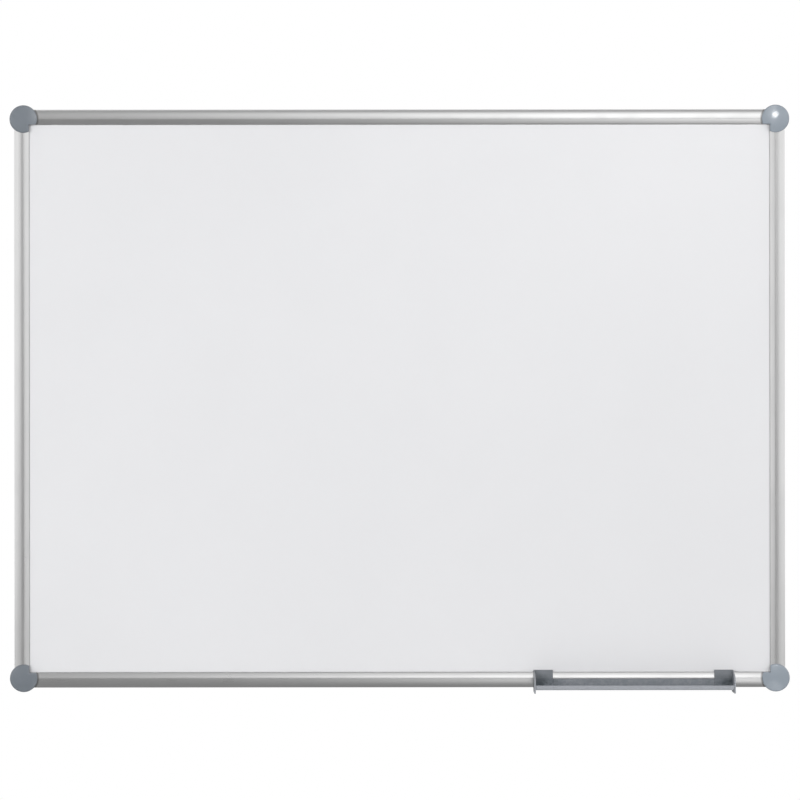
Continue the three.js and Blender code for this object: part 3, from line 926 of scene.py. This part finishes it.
def noise(tree, place, size, detail, roughness, distortion=0.0):
    """Clouds of about a size."""
    spread = calculate(tree, "DIVIDE", 1.0, size)
    sized = node(tree, "ShaderNodeVectorMath", {"operation": "SCALE"}, Vector=place, Scale=spread)
    made = node(
        tree, "ShaderNodeTexNoise", Vector=sized.outputs["Vector"], Scale=1.0, Detail=detail,
        Roughness=roughness, Distortion=distortion,
    )
    return made.outputs["Fac"]


def object_place(tree):
    return node(tree, "ShaderNodeTexCoord").outputs["Object"]


def rgba(values):
    return (*values, 1.0)


def toned(colour, factor, lift=0.0):
    """A colour made darker or paler."""
    return rgba(min(1, value * factor + lift) for value in colour)


# Shared effects


def effect_group(name, inputs, outputs):
    """An empty node group and the sockets inside it: the place is a vector, all else are values."""
    tree = bpy.data.node_groups.new(name, "ShaderNodeTree")
    for title in inputs:
        kind = "NodeSocketVector" if title == "Place" else "NodeSocketFloat"
        tree.interface.new_socket(title, in_out="INPUT", socket_type=kind)
    for title in outputs:
        tree.interface.new_socket(title, in_out="OUTPUT", socket_type="NodeSocketFloat")
    return tree, tree.nodes.new("NodeGroupInput").outputs, tree.nodes.new("NodeGroupOutput").inputs


def moulded_grain_group():
    """Fine grain of a moulded or sprayed surface, with broad patches."""
    tree, given, out = effect_group(
        "Moulded grain", ["Place", "Grain", "Patch"], ["Height", "Patches"]
    )
    fine = noise(tree, given["Place"], given["Grain"], detail=3.0, roughness=0.6)
    broad = noise(
        tree, given["Place"], given["Patch"], detail=2.0, roughness=0.55, distortion=0.4
    )
    tree.links.new(fine, out["Height"])
    tree.links.new(rise(tree, broad, *MIDDLING), out["Patches"])
    return tree


def drawn_lines_group():
    """Fine lines that run along a drawn or extruded length, which lies along x."""
    tree, given, out = effect_group(
        "Drawn lines", ["Place", "Spacing", "Run"], ["Height", "Streaks"]
    )
    squeezed = calculate(tree, "DIVIDE", given["Spacing"], given["Run"])
    squeeze = node(tree, "ShaderNodeCombineXYZ", X=squeezed, Y=1.0, Z=1.0).outputs["Vector"]
    drawn = calculate_vector(tree, "MULTIPLY", given["Place"], squeeze)["Vector"]
    wide = product(tree, given["Spacing"], STREAK_WIDTH)
    lines = noise(tree, drawn, given["Spacing"], detail=4.0, roughness=0.6)
    streaks = noise(tree, drawn, wide, detail=3.0, roughness=0.6)
    tree.links.new(lines, out["Height"])
    tree.links.new(rise(tree, streaks, *MIDDLING), out["Streaks"])
    return tree


def handling_marks_group():
    """Smudges and fine wipe marks left by hands and cloths."""
    tree, given, out = effect_group("Handling marks", ["Place", "Size"], ["Smudges", "Wipes"])
    blurred = noise(
        tree, given["Place"], given["Size"], detail=4.0, roughness=0.55, distortion=0.8
    )
    tree.links.new(rise(tree, blurred, *SMUDGED), out["Smudges"])
    stretched = node(
        tree, "ShaderNodeMapping",
        Vector=given["Place"], Rotation=(0, WIPE_ANGLE, 0), Scale=(1, WIPE_LENGTH, WIPE_LENGTH),
    ).outputs["Vector"]
    wiped = noise(tree, stretched, given["Size"], detail=5.0, roughness=0.65, distortion=0.6)
    tree.links.new(rise(tree, wiped, *WIPED), out["Wipes"])
    return tree


def settled_dust_group():
    """A thin film of dust on what faces up."""
    tree, given, out = effect_group("Settled dust", ["Place", "Size"], ["Dust"])
    normal = node(tree, "ShaderNodeNewGeometry").outputs["Normal"]
    facing = rise(tree, axes(tree, normal)["Z"], *FACING_UP)
    cloud = noise(tree, given["Place"], given["Size"], detail=5.0, roughness=0.65)
    film = between(tree, cloud, THINNEST_DUST, 1.0, *DUST_CLOUDS)
    tree.links.new(product(tree, facing, film), out["Dust"])
    return tree


def edge_wear_group():
    """Polished and paler edges, broken up along their length."""
    tree, given, out = effect_group("Edge wear", ["Place", "Size"], ["Wear"])
    sharp = node(tree, "ShaderNodeNewGeometry").outputs["Pointiness"]
    edge = rise(tree, sharp, *WORN_EDGES)
    broken = noise(tree, given["Place"], given["Size"], detail=4.0, roughness=0.6)
    tree.links.new(product(tree, edge, rise(tree, broken, *BROKEN)), out["Wear"])
    return tree


def tray_shade_group():
    """Painted shade on what stands at the back of the pen tray, deepest low down beside its cheeks.
    """
    tree, given, out = effect_group(
        "Marker dust", ["Place", "Middle", "Half length", "Floor"], ["Dust"]
    )
    place = axes(tree, given["Place"])
    height = calculate(tree, "SUBTRACT", place["Z"], given["Floor"])
    aside = calculate(tree, "ABSOLUTE", calculate(tree, "SUBTRACT", place["X"], given["Middle"]))
    inwards = calculate(tree, "SUBTRACT", given["Half length"], aside)
    low = between(tree, height, 1.0, HIGH_SHADE, *SHADE_HEIGHTS)
    beside = fall(tree, inwards, *SHADE_BESIDE_CHEEKS)
    corner = between(tree, product(tree, low, beside), FLOOR_SHADE, 1.0)
    back = rise(tree, place["Y"], *SHADE_DEPTHS)
    inside = rise(tree, height, 0.0, FLOOR_EDGE)
    cloud = noise(tree, given["Place"], SHADE_CLOUD_SIZE, detail=4.0, roughness=0.6)
    spread = between(tree, cloud, *SHADE_SPREAD, *MIDDLING)
    # the Dust output carries the painted shade
    tree.links.new(product(tree, corner, spread, back, inside), out["Dust"])
    return tree


EFFECTS = {
    "Marker dust": tray_shade_group,
    "Moulded grain": moulded_grain_group,
    "Drawn lines": drawn_lines_group,
    "Handling marks": handling_marks_group,
    "Settled dust": settled_dust_group,
    "Edge wear": edge_wear_group,
}


def effect(tree, name, **inputs):
    """A shared effect placed in a finish with its own values."""
    group = bpy.data.node_groups.get(name) or EFFECTS[name]()
    return node(tree, "ShaderNodeGroup", {"node_tree": group}, **inputs).outputs


# Finishes


def new_finish(name, **constants):
    """A material with its shader's constant values set, and that shader."""
    material = bpy.data.materials.new(name)
    material.use_nodes = True
    tree = material.node_tree
    shader = tree.nodes["Principled BSDF"]
    for key, value in constants.items():
        shader.inputs[key.replace("_", " ")].default_value = value
    return material, tree, shader


def roughened(tree, roughness, mask, amount):
    """A roughness that a mask raises, or lowers where the amount is negative."""
    return calculate(tree, "ADD", roughness, between(tree, mask, 0.0, amount))


def dress(tree, shader, colour, roughness, height, depth, strength):
    """Feeds a shader its colour, its roughness and a bump of a depth."""
    made = node(tree, "ShaderNodeBump", Strength=strength, Distance=depth, Height=height)
    feed(tree, shader.inputs["Base Color"], colour)
    feed(tree, shader.inputs["Roughness"], roughness)
    feed(tree, shader.inputs["Normal"], made.outputs["Normal"])


def writing_lacquer(name):
    """White lacquer baked on steel: slight orange peel, faint wipe marks, painted shade and marker
    residue along the rails.
    """
    colours = bpy.context.scene.whiteboard_colours
    material, tree, shader = new_finish(name, Metallic=0.0, IOR=1.5)
    place = object_place(tree)
    grain = effect(tree, "Moulded grain", Place=place, Grain=2.2 * MM, Patch=260 * MM)
    marks = effect(tree, "Handling marks", Place=place, Size=180 * MM)
    dimmer = toned(colours.lacquer, 0.985)
    tinted = mixed(tree, grain["Patches"], rgba(colours.lacquer), dimmer)
    marked = mixed(tree, marks["Smudges"], tinted, rgba(colours.ghosts), strength=0.1)
    # a thin dark line along the rails: painted shade of the gap under their lips, with marker
    # residue
    shade_and_residue = lip_shade_and_residue(tree, place)
    shade_darkened = mixed(tree, shade_and_residue, marked, rgba(colours.shade_and_residue), strength=0.4)
    wiped = between(tree, marks["Wipes"], low=0.09, high=0.13)
    roughness = roughened(tree, wiped, marks["Smudges"], 0.04)
    dress(tree, shader, shade_darkened, roughness, grain["Height"], depth=0.01 * MM, strength=0.5)
    return material


def inner_edges():
    """How far from the board's middle the rails' inner edges are, across it and up it."""
    return {"X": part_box("rail_right")[0].x, "Z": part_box("rail_top")[0].z}


def from_middle(tree, place):
    """How far a place is from the board's middle, along each axis."""
    return axes(tree, calculate_vector(tree, "ABSOLUTE", place)["Vector"])


def lip_shade_and_residue(tree, place):
    """A mask for the painted shade, with marker residue, in a thin line where the sheet goes under
    the rails.
    """
    sides = from_middle(tree, place)
    lines = [
        rise(tree, sides[axis], edge - LIP_SHADE_WIDTH, edge) for axis, edge in inner_edges().items()
    ]
    return calculate(tree, "MAXIMUM", *lines)


def anodised_aluminium(name, along):
    """Satin anodised extrusion, its fine lines along the rail."""
    colours = bpy.context.scene.whiteboard_colours
    material, tree, shader = new_finish(
        name, Metallic=1.0, Anisotropic=0.66, Anisotropic_Rotation=0.25
    )
    direction = node(tree, "ShaderNodeCombineXYZ", **{along: 1.0}).outputs["Vector"]
    feed(tree, shader.inputs["Tangent"], direction)
    place = object_place(tree)
    turn = math.radians(90) if along == "Z" else 0
    level = node(tree, "ShaderNodeMapping", Vector=place, Rotation=(0, turn, 0)).outputs["Vector"]
    lines = effect(tree, "Drawn lines", Place=level, Spacing=0.22 * MM, Run=90 * MM)
    marks = effect(tree, "Handling marks", Place=place, Size=70 * MM)
    grain = effect(tree, "Moulded grain", Place=place, Grain=0.5 * MM, Patch=120 * MM)
    duller = toned(colours.alloy, 0.93)
    streaked = mixed(tree, lines["Streaks"], rgba(colours.alloy), duller, strength=0.6)
    # painted shade along the sheet and painted shadow of the caps
    rail_shade = painted_rail_shade(tree, place, along)
    shade_darkened = mixed(tree, rail_shade, streaked, rgba(colours.rail_shade), strength=0.75)
    satin = between(tree, lines["Streaks"], low=0.26, high=0.31)
    marked = roughened(tree, satin, marks["Smudges"], 0.05)
    roughness = roughened(tree, marked, grain["Patches"], 0.03)
    dress(tree, shader, shade_darkened, roughness, lines["Height"], depth=0.0015 * MM, strength=0.6)
    return material


def painted_rail_shade(tree, place, along):
    """A mask for the painted shade along a rail's inner edge and, on level rails, the painted
    shadow where the caps end.
    """
    across = {"X": "Z", "Z": "X"}[along]
    edge = inner_edges()[across]
    sides = from_middle(tree, place)
    rail_shade = between(tree, sides[across], EDGE_SHADE, 0.0, edge + RAIL_SHADE_WIDTH, edge + 2 * RAIL_SHADE_WIDTH)
    # on level rails, a ring of painted shadow round the caps
    if along == "X":
        low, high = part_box("corner_cap_top_right")
        flat = node(tree, "ShaderNodeCombineXYZ", X=sides["X"], Z=sides["Z"]).outputs["Vector"]
        middle = Vector(((low.x + high.x) / 2, 0, (low.z + high.z) / 2))
        away = calculate_vector(tree, "DISTANCE", flat, middle)["Value"]
        radius = (high.x - low.x) / 2
        ring = fall(tree, away, *(radius + reach for reach in CAP_SHADOW))
        rail_shade = calculate(tree, "MAXIMUM", rail_shade, ring)
    return rail_shade


def moulded_plastic(name, tone, roughness, over=None, **constants):
    """Moulded plastic with a fine grain, paler edges and a little dust.

    What is laid over its colour, such as a painted sheen or painted shade, is a function of the
    tree, the place and the colour so far.
    """
    colours = bpy.context.scene.whiteboard_colours
    material, tree, shader = new_finish(name, Metallic=0.0, IOR=1.57, **constants)
    place = object_place(tree)
    grain = effect(tree, "Moulded grain", Place=place, Grain=0.35 * MM, Patch=22 * MM)
    marks = effect(tree, "Handling marks", Place=place, Size=26 * MM)
    wear = effect(tree, "Edge wear", Place=place, Size=4 * MM)
    dust = effect(tree, "Settled dust", Place=place, Size=7 * MM)
    body = mixed(tree, grain["Patches"], rgba(tone), toned(tone, 0.95))
    if over:
        body = over(tree, place, body)
    paler = toned(tone, 1.3, lift=0.02)
    worn = mixed(tree, wear["Wear"], body, paler, strength=0.4)
    filmed = mixed(tree, dust["Dust"], worn, rgba(colours.dust), strength=0.12)
    uneven = between(tree, grain["Patches"], low=roughness - 0.03, high=roughness + 0.04)
    touched = roughened(tree, uneven, marks["Smudges"], -0.06)
    dusty = roughened(tree, touched, dust["Dust"], 0.12)
    dress(tree, shader, filmed, dusty, grain["Height"], depth=0.02 * MM, strength=0.5)
    return material


def cap_plastic(name):
    """The caps' plastic, polished over its grain, with a painted sheen that makes it paler towards
    the right-hand side.
    """
    tone = bpy.context.scene.whiteboard_colours.cap
    return moulded_plastic(
        name, tone, 0.4, painted_sheen_right, Coat_Weight=1.0, Coat_Roughness=0.1, Coat_IOR=1.57
    )


def painted_sheen_right(tree, place, base):
    """Plastic painted paler towards the board's right-hand end, as a sheen of the light from the
    right.
    """
    # painted sheen: paler over the span to the right
    painted_sheen = rgba(bpy.context.scene.whiteboard_colours.painted_sheen)
    return mixed(tree, rise(tree, axes(tree, place)["X"], *SHEEN_SPAN), base, painted_sheen)


def tray_plastic():
    """The pen tray's plastic, with painted shade at its back, shared by its three pieces."""
    name = "tray_plastic"
    tone = bpy.context.scene.whiteboard_colours.tray
    return bpy.data.materials.get(name) or moulded_plastic(name, tone, 0.42, shaded_at_back)


def shaded_at_back(tree, place, base):
    """Plastic with painted shade at the back of the pen tray."""
    low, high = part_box("tray_trough")
    # painted shade at the tray's back and beside its cheeks; the mask still comes out as Dust
    dust = effect(
        tree, "Marker dust", Place=place, Middle=(low.x + high.x) / 2,
        Half_length=(high.x - low.x) / 2, Floor=low.z,
    )["Dust"]
    painted_tray_shade = rgba(bpy.context.scene.whiteboard_colours.painted_tray_shade)
    return mixed(tree, dust, base, painted_tray_shade, strength=0.88)


def plated_steel(name):
    """Bright zinc plating with a faint blue and yellow bloom."""
    colours = bpy.context.scene.whiteboard_colours
    material, tree, shader = new_finish(name, Metallic=1.0)
    place = object_place(tree)
    grain = effect(tree, "Moulded grain", Place=place, Grain=0.25 * MM, Patch=3 * MM)
    wear = effect(tree, "Edge wear", Place=place, Size=1 * MM)
    bloom = mixed(tree, grain["Patches"], rgba(colours.plated), rgba(colours.bloom))
    worn = mixed(tree, wear["Wear"], bloom, rgba(colours.worn))
    uneven = between(tree, grain["Patches"], low=0.24, high=0.36)
    dress(tree, shader, worn, uneven, grain["Height"], depth=0.01 * MM, strength=0.4)
    return material


def galvanised_steel(name):
    """Hot-dip galvanised sheet: crystals of zinc in different greys."""
    colours = bpy.context.scene.whiteboard_colours
    material, tree, shader = new_finish(name, Metallic=1.0)
    place = object_place(tree)
    grain = effect(tree, "Moulded grain", Place=place, Grain=1.2 * MM, Patch=150 * MM)
    marks = effect(tree, "Handling marks", Place=place, Size=140 * MM)
    warp = node(tree, "ShaderNodeTexNoise", Vector=place, Scale=60.0, Detail=3.0).outputs["Color"]
    shift = (CRYSTAL_SHIFT, CRYSTAL_SHIFT, CRYSTAL_SHIFT)
    shifted = calculate_vector(tree, "MULTIPLY_ADD", warp, shift, place)["Vector"]
    crystals = node(tree, "ShaderNodeTexVoronoi", Vector=shifted, Scale=110.0).outputs["Color"]
    tone = axes(tree, crystals)["X"]
    dark = toned(colours.zinc, 0.88)
    spangled = mixed(tree, tone, dark, toned(colours.zinc, 1.12))
    smudged = mixed(tree, marks["Smudges"], spangled, dark, strength=0.25)
    uneven = between(tree, tone, low=0.34, high=0.5)
    roughness = roughened(tree, uneven, grain["Patches"], 0.06)
    height = calculate(tree, "ADD", tone, grain["Height"])
    dress(tree, shader, smudged, roughness, height, depth=0.03 * MM, strength=0.3)
    return material


def paper_honeycomb(name):
    """Brown paper with the marks of its cells and its fibres."""
    colours = bpy.context.scene.whiteboard_colours
    material, tree, shader = new_finish(name, Metallic=0.0)
    place = object_place(tree)
    grain = effect(tree, "Moulded grain", Place=place, Grain=0.8 * MM, Patch=60 * MM)
    fibres = effect(tree, "Drawn lines", Place=place, Spacing=0.4 * MM, Run=6 * MM)
    cells = node(
        tree, "ShaderNodeTexVoronoi", {"feature": "DISTANCE_TO_EDGE"},
        Vector=place, Scale=62.0, Randomness=0.15,
    ).outputs["Distance"]
    seam = fall(tree, cells, 0.0, CELL_SEAM)
    fibred = mixed(tree, fibres["Streaks"], rgba(colours.paper), toned(colours.paper, 0.86))
    marked = mixed(tree, seam, fibred, toned(colours.paper, 0.72))
    uneven = between(tree, grain["Patches"], low=0.82, high=0.94)
    height = calculate(tree, "ADD", grain["Height"], seam)
    dress(tree, shader, marked, uneven, height, depth=0.2 * MM, strength=0.5)
    return material


# Studio


def looked_at(tree):
    """1 wherever the camera, a reflection or clear glass looks straight at a surface, or else 0."""
    rays = node(tree, "ShaderNodeLightPath").outputs
    seen = calculate(tree, "MAXIMUM", rays["Is Camera Ray"], rays["Is Glossy Ray"])
    return calculate(tree, "MAXIMUM", seen, rays["Is Transmission Ray"])


def white_world(studio):
    world = bpy.data.worlds.new("white_studio")
    world.use_nodes = True
    tree = world.node_tree
    background = tree.nodes["Background"]
    background.inputs["Color"].default_value = (1, 1, 1, 1)
    level = between(tree, looked_at(tree), studio.ambient, 1.0)
    feed(tree, background.inputs["Strength"], level)
    bpy.context.scene.world = world


def stage_plane(name, middle, facing, size, material):
    """A flat stage piece that isn't part of the board."""
    bm = bmesh.new()
    bmesh.ops.create_grid(bm, x_segments=1, y_segments=1, size=0.5)
    bmesh.ops.scale(bm, verts=bm.verts, vec=(*size, 1))
    turn = Vector(facing).to_track_quat("Z", "Y").to_matrix().to_4x4()
    moved(bm, Matrix.Translation(middle) @ turn)
    plane = bpy.data.objects.new(name, mesh_of(bm, name))
    plane.data.materials.append(material)
    bpy.context.scene.collection.objects.link(plane)
    return plane


def pale_floor(studio):
    """A pale floor that fades to the white background away from the board."""
    material, tree, shader = new_finish("pale_floor", Roughness=0.6)
    place = object_place(tree)
    grain = effect(tree, "Moulded grain", Place=place, Grain=20 * MM, Patch=1.5)
    colour_near = studio.floor_colour
    pale = mixed(tree, grain["Patches"], rgba(colour_near), toned(colour_near, 0.975))
    feed(tree, shader.inputs["Base Color"], pale)
    away = calculate_vector(tree, "LENGTH", place)["Value"]
    far = between(tree, away, NEAR_WHITE, 1.0, *FLOOR_FADE)
    white = node(tree, "ShaderNodeEmission", Strength=1.0)
    fade = node(tree, "ShaderNodeMixShader", Fac=product(tree, far, looked_at(tree)))
    tree.links.new(shader.outputs["BSDF"], fade.inputs[1])
    tree.links.new(white.outputs["Emission"], fade.inputs[2])
    tree.links.new(fade.outputs["Shader"], tree.nodes["Material Output"].inputs["Surface"])
    return material


def grey_card(name, grey, pale, middle, facing, size, span, axis, reach):
    """A card that only reflections see, grey with a pale band before the board's right half.

    The band comes in over the span along x, and over the reach along the other axis.
    """
    material = bpy.data.materials.new(name)
    material.use_nodes = True
    tree = material.node_tree
    tree.nodes.remove(tree.nodes["Principled BSDF"])
    place = axes(tree, object_place(tree))
    left = rise(tree, place["X"], *span)
    right = between(tree, place["X"], 1.0, BAND_REST, *BAND_RIGHT)
    band = product(tree, left, right, rise(tree, place[axis], *reach))
    low = between(tree, place["Z"], *CARD_LEVELS, *LOW_REACH)
    level = product(tree, between(tree, band, grey, pale), low)
    glow = node(tree, "ShaderNodeEmission", Strength=level)
    tree.links.new(glow.outputs["Emission"], tree.nodes["Material Output"].inputs["Surface"])
    card = stage_plane(name, middle, facing, size, material)
    card.visible_camera = False
    card.visible_diffuse = False
    card.visible_transmission = False
    card.visible_shadow = False


def lamp(name, watts, place, width, reflected):
    """A round soft box that shines at the board's middle."""
    data = bpy.data.lights.new(name, "AREA")
    data.shape = "ELLIPSE"
    data.size = data.size_y = width
    data.energy = watts
    made = bpy.data.objects.new(name, data)
    made.location = place
    made.rotation_euler = Vector(place).to_track_quat("Z", "Y").to_euler()
    made.visible_camera = False
    made.visible_glossy = reflected
    bpy.context.scene.collection.objects.link(made)
    return made


class WHITEBOARD_OT_stage(bpy.types.Operator):
    """Set up the floor, the light and the camera at the photograph's view"""

    bl_idname = "whiteboard.stage"
    bl_label = "Stage"

    def execute(self, context):
        scene = context.scene
        studio = scene.whiteboard_studio
        scene.view_settings.view_transform = "Standard"
        white_world(studio)
        floor_level = -studio.floor_drop
        stage_plane("floor", (0, 0, floor_level), (0, 0, 1), FLOOR_SIZE, pale_floor(studio))
        grey_card("dim_wall", studio.wall, studio.window, **WALL_CARD)
        grey_card("dim_ceiling", studio.ceiling, studio.skylight, **CEILING_CARD)
        just_above = (0, 0, floor_level + MM)
        grey_card("dim_floor", studio.floor, studio.floor_band, just_above, **FLOOR_CARD)
        lamp("left_box", studio.left_box, **LEFT_BOX)
        lamp("right_box", studio.right_box, **RIGHT_BOX)
        spot = lamp("spot", studio.spot, **SPOT)
        lit = bpy.data.collections.new("spot_lit")
        for corner in SPOT_LIT:
            lit.objects.link(scene.objects[f"{corner}_cap"])
        spot.light_linking.receiver_collection = lit
        camera = bpy.data.objects.new("camera", bpy.data.cameras.new("camera"))
        camera.data.lens = studio.lens
        camera.location = (studio.side, -studio.distance, studio.rise)
        camera.rotation_euler = (math.radians(90), studio.roll, 0)
        scene.collection.objects.link(camera)
        scene.camera = camera
        return {"FINISHED"}


class WHITEBOARD_PT_panel(bpy.types.Panel):
    """Lists the board's pieces, sizes and colours"""

    bl_idname = "WHITEBOARD_PT_panel"
    bl_label = "Magnetic Whiteboard"
    bl_space_type = "VIEW_3D"
    bl_region_type = "UI"
    bl_category = "Whiteboard"

    def draw(self, context):
        for operator in OPERATORS:
            self.layout.operator(operator.bl_idname)
        for name in SETTINGS:
            group = getattr(context.scene, name)
            box = self.layout.box()
            box.label(text=group.bl_rna.name)
            for key in group.__annotations__:
                box.prop(group, key)


OPERATORS = (
    WHITEBOARD_OT_panel,
    WHITEBOARD_OT_rails,
    WHITEBOARD_OT_rail_screws,
    WHITEBOARD_OT_corner_bodies,
    WHITEBOARD_OT_corner_caps,
    WHITEBOARD_OT_tray_trough,
    WHITEBOARD_OT_tray_ends,
    WHITEBOARD_OT_stage,
)
SETTINGS = {
    "whiteboard_rails": RailSizes,
    "whiteboard_screws": ScrewSizes,
    "whiteboard_corners": CornerSizes,
    "whiteboard_tray": TraySizes,
    "whiteboard_colours": FinishColours,
    "whiteboard_studio": StudioSettings,
}
CLASSES = (*SETTINGS.values(), *OPERATORS, WHITEBOARD_PT_panel)


def register():
    for item in CLASSES:
        bpy.utils.register_class(item)
    for name, group in SETTINGS.items():
        setattr(bpy.types.Scene, name, PointerProperty(type=group))


def unregister():
    for name in SETTINGS:
        delattr(bpy.types.Scene, name)
    for item in reversed(CLASSES):
        bpy.utils.unregister_class(item)


def main():
    register()
    bpy.ops.whiteboard.panel()
    bpy.ops.whiteboard.rails()
    bpy.ops.whiteboard.rail_screws()
    bpy.ops.whiteboard.corner_bodies()
    bpy.ops.whiteboard.corner_caps()
    bpy.ops.whiteboard.tray_trough()
    bpy.ops.whiteboard.tray_ends()
    bpy.ops.whiteboard.stage()


if __name__ == "__main__":
    main()
